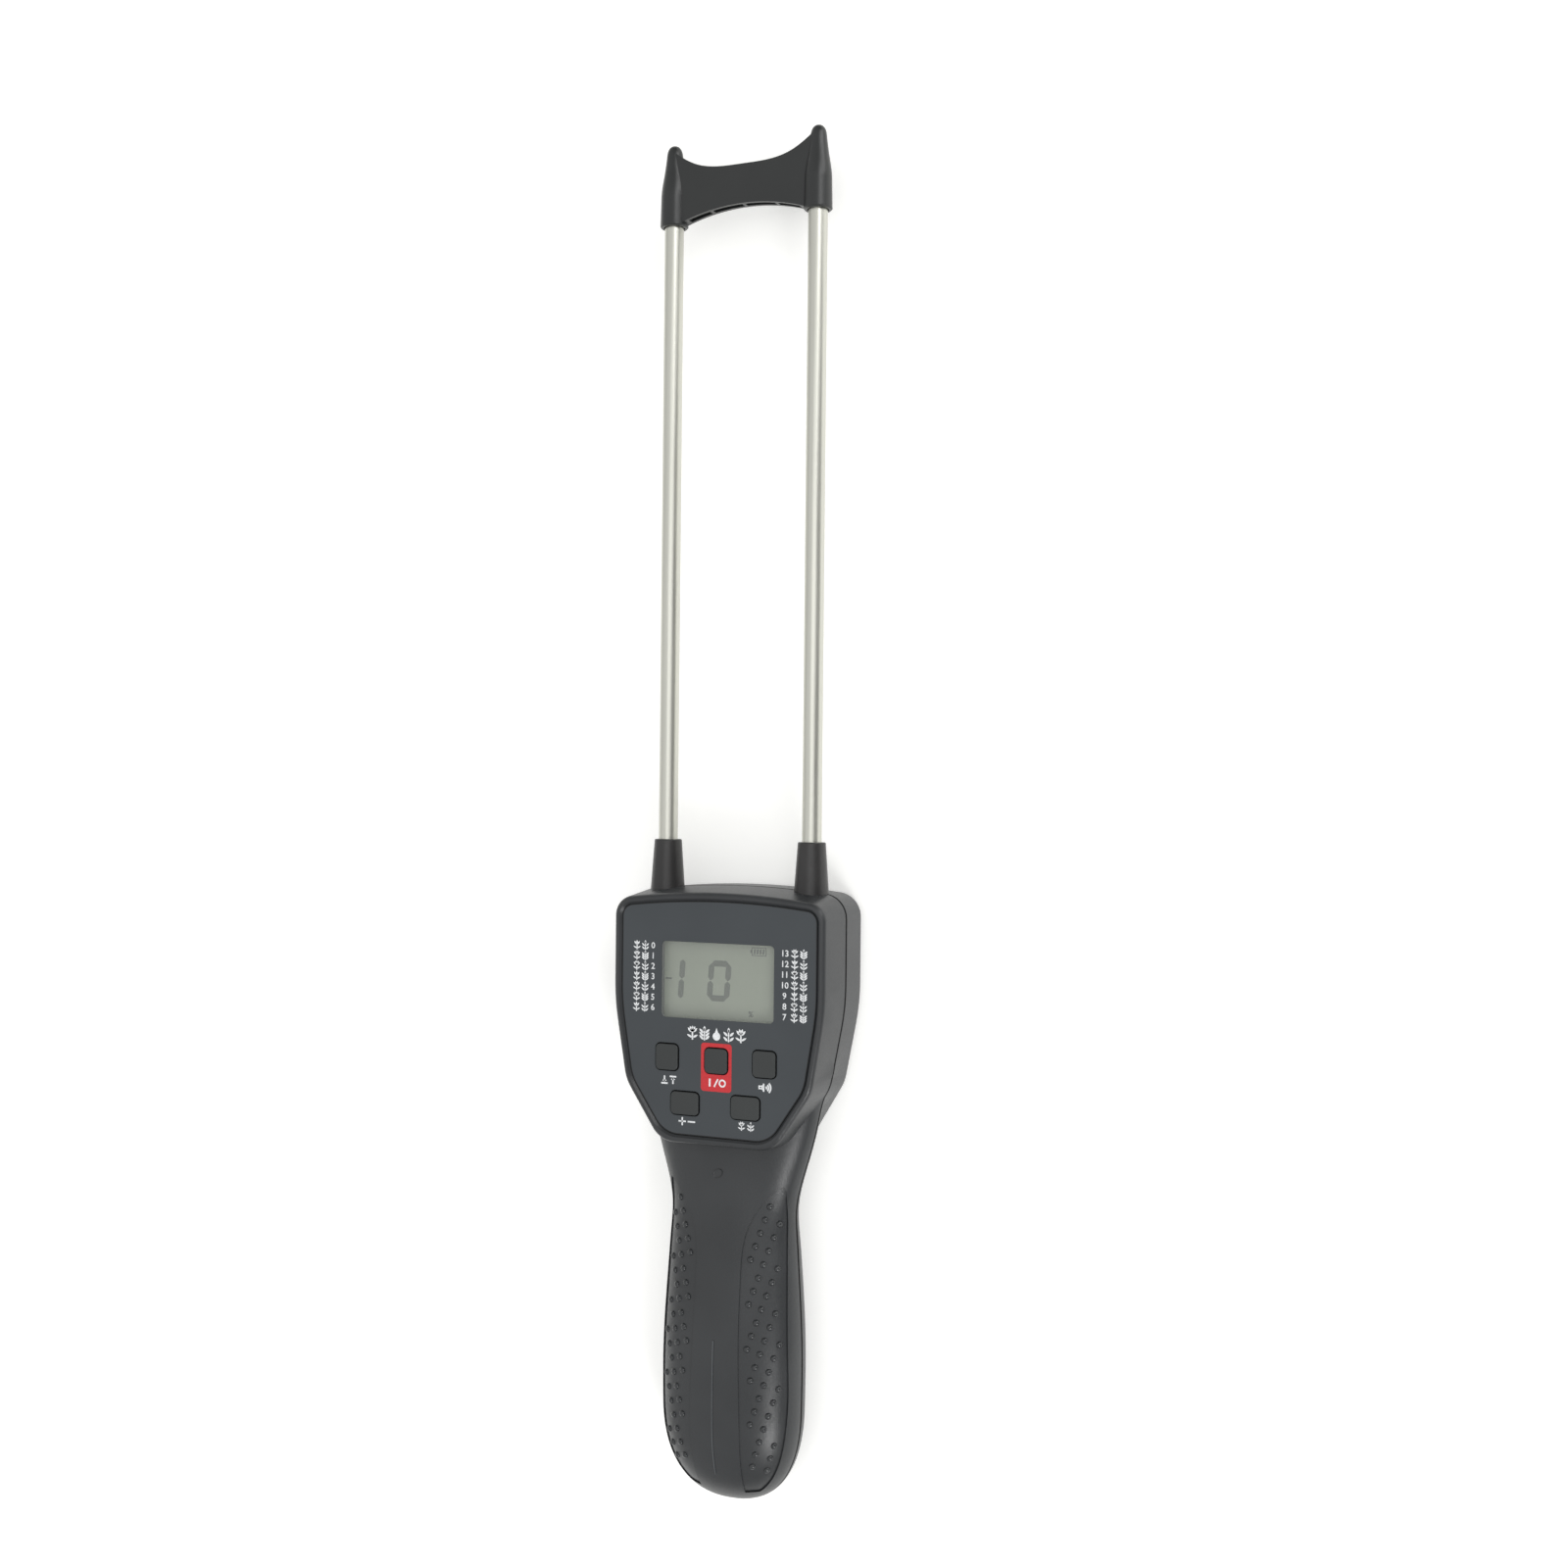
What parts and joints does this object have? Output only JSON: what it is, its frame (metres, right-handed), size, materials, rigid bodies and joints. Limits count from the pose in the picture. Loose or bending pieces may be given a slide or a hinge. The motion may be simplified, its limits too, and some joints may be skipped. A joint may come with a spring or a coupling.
{
  "type": "grain moisture meter",
  "caption": "Hand-held grain moisture meter with a display head, a textured grip and parallel steel rods joined by a pointed cap.",
  "frame": {"origin": "middle of the bounding box in plan, on the table under the back of the meter", "axes": "+X to the right across the display, +Y along the meter towards the tips of the rods, +Z out of the display"},
  "size_m": [0.072, 0.42, 0.03],
  "materials": {
    "shell_plastic": "satin charcoal moulded ABS with a fine spark texture",
    "panel_print": "printed slate-grey polycarbonate faceplate",
    "clear_window": "clear acrylic",
    "lcd_glass": "grey-green reflective LCD",
    "black_plastic": "black moulded plastic",
    "strip_rubber": "silicone contact strip",
    "board": "green solder mask on glass-epoxy",
    "capacitor_sleeve": "printed sleeve",
    "key_plastic": "satin charcoal key",
    "plunger_plastic": "light switch plunger",
    "magnet_steel": "plated magnet cup",
    "stainless_rod": "ground stainless steel",
    "probe_plastic": "black glass-filled nylon",
    "screw_steel": "zinc-plated steel",
    "brass": "tinned brass tag",
    "contact_plate": "nickel-plated spring steel",
    "cell_wrap": "printed cell wrap"
  },
  "bodies": {
    "casing": {"front_shell": "shell_plastic", "rear_shell": "shell_plastic", "panel_overlay": "panel_print", "display_window": "clear_window", "lcd_glass": "lcd_glass", "lcd_holder": "black_plastic", "controller_chip": "black_plastic", "tact_switches": "black_plastic", "speaker_frame": "black_plastic", "rod_clamps": "black_plastic", "battery_tray": "black_plastic", "speaker_cone": "black_plastic", "lcd_connectors": "strip_rubber", "main_board": "board", "board_capacitors": "capacitor_sleeve", "speaker_magnet": "magnet_steel", "left_rod": "stainless_rod", "right_rod": "stainless_rod", "left_collar": "probe_plastic", "right_collar": "probe_plastic", "tip_cap": "probe_plastic", "clamp_screws": "screw_steel", "case_screws": "screw_steel", "board_screws": "screw_steel", "battery_springs": "screw_steel", "rod_terminals": "brass", "battery_contacts": "contact_plate", "battery_1": "cell_wrap", "battery_2": "cell_wrap", "battery_3": "cell_wrap", "battery_4": "cell_wrap"},
    "button_power": {"key_power": "key_plastic", "plunger_power": "plunger_plastic"},
    "button_limit": {"key_limit": "key_plastic", "plunger_limit": "plunger_plastic"},
    "button_voice": {"key_voice": "key_plastic", "plunger_voice": "plunger_plastic"},
    "button_adjust": {"key_adjust": "key_plastic", "plunger_adjust": "plunger_plastic"},
    "button_crop": {"key_crop": "key_plastic", "plunger_crop": "plunger_plastic"},
    "door": {"battery_door": "shell_plastic"}
  },
  "joints": [
    {"name": "press_power", "type": "slide", "parent": "casing", "child": "button_power", "axis": [0, 0, -1], "range_m": [0, 0.0006], "stiffness_N_per_m": 300, "springref_m": -0.0002},
    {"name": "press_limit", "type": "slide", "parent": "casing", "child": "button_limit", "axis": [0, 0, -1], "range_m": [0, 0.0006], "stiffness_N_per_m": 300, "springref_m": -0.0002},
    {"name": "press_voice", "type": "slide", "parent": "casing", "child": "button_voice", "axis": [0, 0, -1], "range_m": [0, 0.0006], "stiffness_N_per_m": 300, "springref_m": -0.0002},
    {"name": "press_adjust", "type": "slide", "parent": "casing", "child": "button_adjust", "axis": [0, 0, -1], "range_m": [0, 0.0006], "stiffness_N_per_m": 300, "springref_m": -0.0002},
    {"name": "press_crop", "type": "slide", "parent": "casing", "child": "button_crop", "axis": [0, 0, -1], "range_m": [0, 0.0006], "stiffness_N_per_m": 300, "springref_m": -0.0002},
    {"name": "door_slide", "type": "slide", "parent": "casing", "child": "door", "axis": [0, -1, 0], "range_m": [0, 0.014]}
  ]
}
